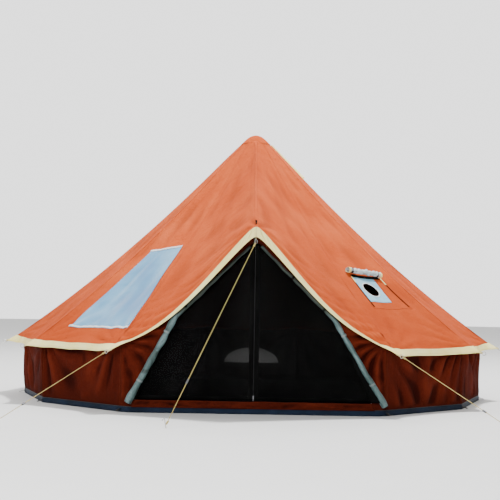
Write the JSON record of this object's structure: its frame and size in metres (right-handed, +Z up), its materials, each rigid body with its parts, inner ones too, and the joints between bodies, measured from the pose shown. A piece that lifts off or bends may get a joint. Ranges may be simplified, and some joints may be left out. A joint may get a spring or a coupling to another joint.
{
  "type": "bell tent",
  "caption": "Round canvas bell tent on a centre pole, with an arched mesh doorway, rolled storm doors, a clear roof window, a stove jack and guy lines.",
  "frame": {"origin": "on the ground under the centre pole, at the underside of the groundsheet", "axes": "+Z up, the door faces -Y, +X to the right seen from the front"},
  "size_m": [5.3896, 6.3762, 2.912],
  "materials": {
    "canvas": "terracotta proofed canvas",
    "trim": "cream canvas hem",
    "groundsheet": "navy coated sheet",
    "lining": "silver-grey coated cloth",
    "insect_mesh": "black insect mesh",
    "clear_film": "clear flexible film",
    "heat_cloth": "pale heat-proof cloth",
    "pole_steel": "galvanised tube",
    "hardware_steel": "zinc plated",
    "rubber": "black moulded",
    "rope": "yellow braid",
    "fittings": "dark anodised"
  },
  "bodies": {
    "root": {"apex_cap": "canvas", "centre_pole_cap": "rubber", "centre_pole_foot": "rubber", "centre_pole_lower": "pole_steel", "centre_pole_middle": "pole_steel", "centre_pole_upper": "pole_steel", "door_frame_elbow": "pole_steel", "door_frame_foot_left": "rubber", "door_frame_foot_right": "rubber", "door_frame_left": "pole_steel", "door_frame_right": "pole_steel", "door_sill": "canvas", "eave_valance": "trim", "front_wall_left": "canvas", "front_wall_right": "canvas", "gable_trim_left": "trim", "gable_trim_right": "trim", "groundsheet_floor": "groundsheet", "groundsheet_rim": "groundsheet", "guy_ring_front": "hardware_steel", "guy_ring_left": "hardware_steel", "guy_ring_right": "hardware_steel", "guy_rope_front": "rope", "guy_rope_left": "rope", "guy_rope_right": "rope", "peg_front": "hardware_steel", "peg_left": "hardware_steel", "peg_right": "hardware_steel", "rear_window_mesh": "insect_mesh", "roof_back": "canvas", "roof_gable_left": "canvas", "roof_gable_right": "canvas", "roof_left_front": "canvas", "roof_left_middle": "canvas", "roof_left_rear": "canvas", "roof_right_front": "canvas", "roof_right_middle": "canvas", "roof_right_rear": "canvas", "skylight_window": "clear_film", "storm_door_left": "lining", "storm_door_right": "lining", "stove_jack_flap_roll": "lining", "stove_jack_patch": "heat_cloth", "vent_hood": "trim", "vent_mesh": "insect_mesh", "wall_back": "canvas", "wall_left_front": "canvas", "wall_left_middle": "canvas", "wall_left_rear": "canvas", "wall_right_front": "canvas", "wall_right_middle": "canvas", "wall_right_rear": "canvas"},
    "door_left": {"mesh_door_left": "insect_mesh"},
    "door_right": {"mesh_door_right": "insect_mesh"},
    "zip_slider": {"zip_slider": "fittings"},
    "window_flap": {"rear_window_flap": "canvas"},
    "runner_front": {"rope_runner_front": "fittings"},
    "runner_left": {"rope_runner_left": "fittings"},
    "runner_right": {"rope_runner_right": "fittings"}
  },
  "joints": [
    {"name": "door_left_swing", "type": "hinge", "parent": "root", "child": "door_left", "pos_m": [-1.14, -2.17675, 0.125], "axis": [-0.4486, 0.0624, -0.8915], "range_deg": [-50, 0]},
    {"name": "door_right_swing", "type": "hinge", "parent": "root", "child": "door_right", "pos_m": [1.14, -2.17675, 0.125], "axis": [-0.4486, -0.0624, 0.8915], "range_deg": [-50, 0]},
    {"name": "zip_travel", "type": "slide", "parent": "door_right", "child": "zip_slider", "axis": [0, -0.0698, 0.9976], "range_m": [0, 1.38]},
    {"name": "window_flap_swing", "type": "hinge", "parent": "root", "child": "window_flap", "pos_m": [0, 2.41725, 0.218], "axis": [-1, 0, 0], "range_deg": [0, 175]},
    {"name": "runner_front_slide", "type": "slide", "parent": "root", "child": "runner_front", "axis": [0.3711, 0.4647, 0.804], "range_m": [-0.3, 0.7]},
    {"name": "runner_left_slide", "type": "slide", "parent": "root", "child": "runner_left", "axis": [0.4674, 0.8195, 0.3315], "range_m": [-0.3, 0.7]},
    {"name": "runner_right_slide", "type": "slide", "parent": "root", "child": "runner_right", "axis": [-0.4674, 0.8195, 0.3315], "range_m": [-0.3, 0.7]}
  ]
}
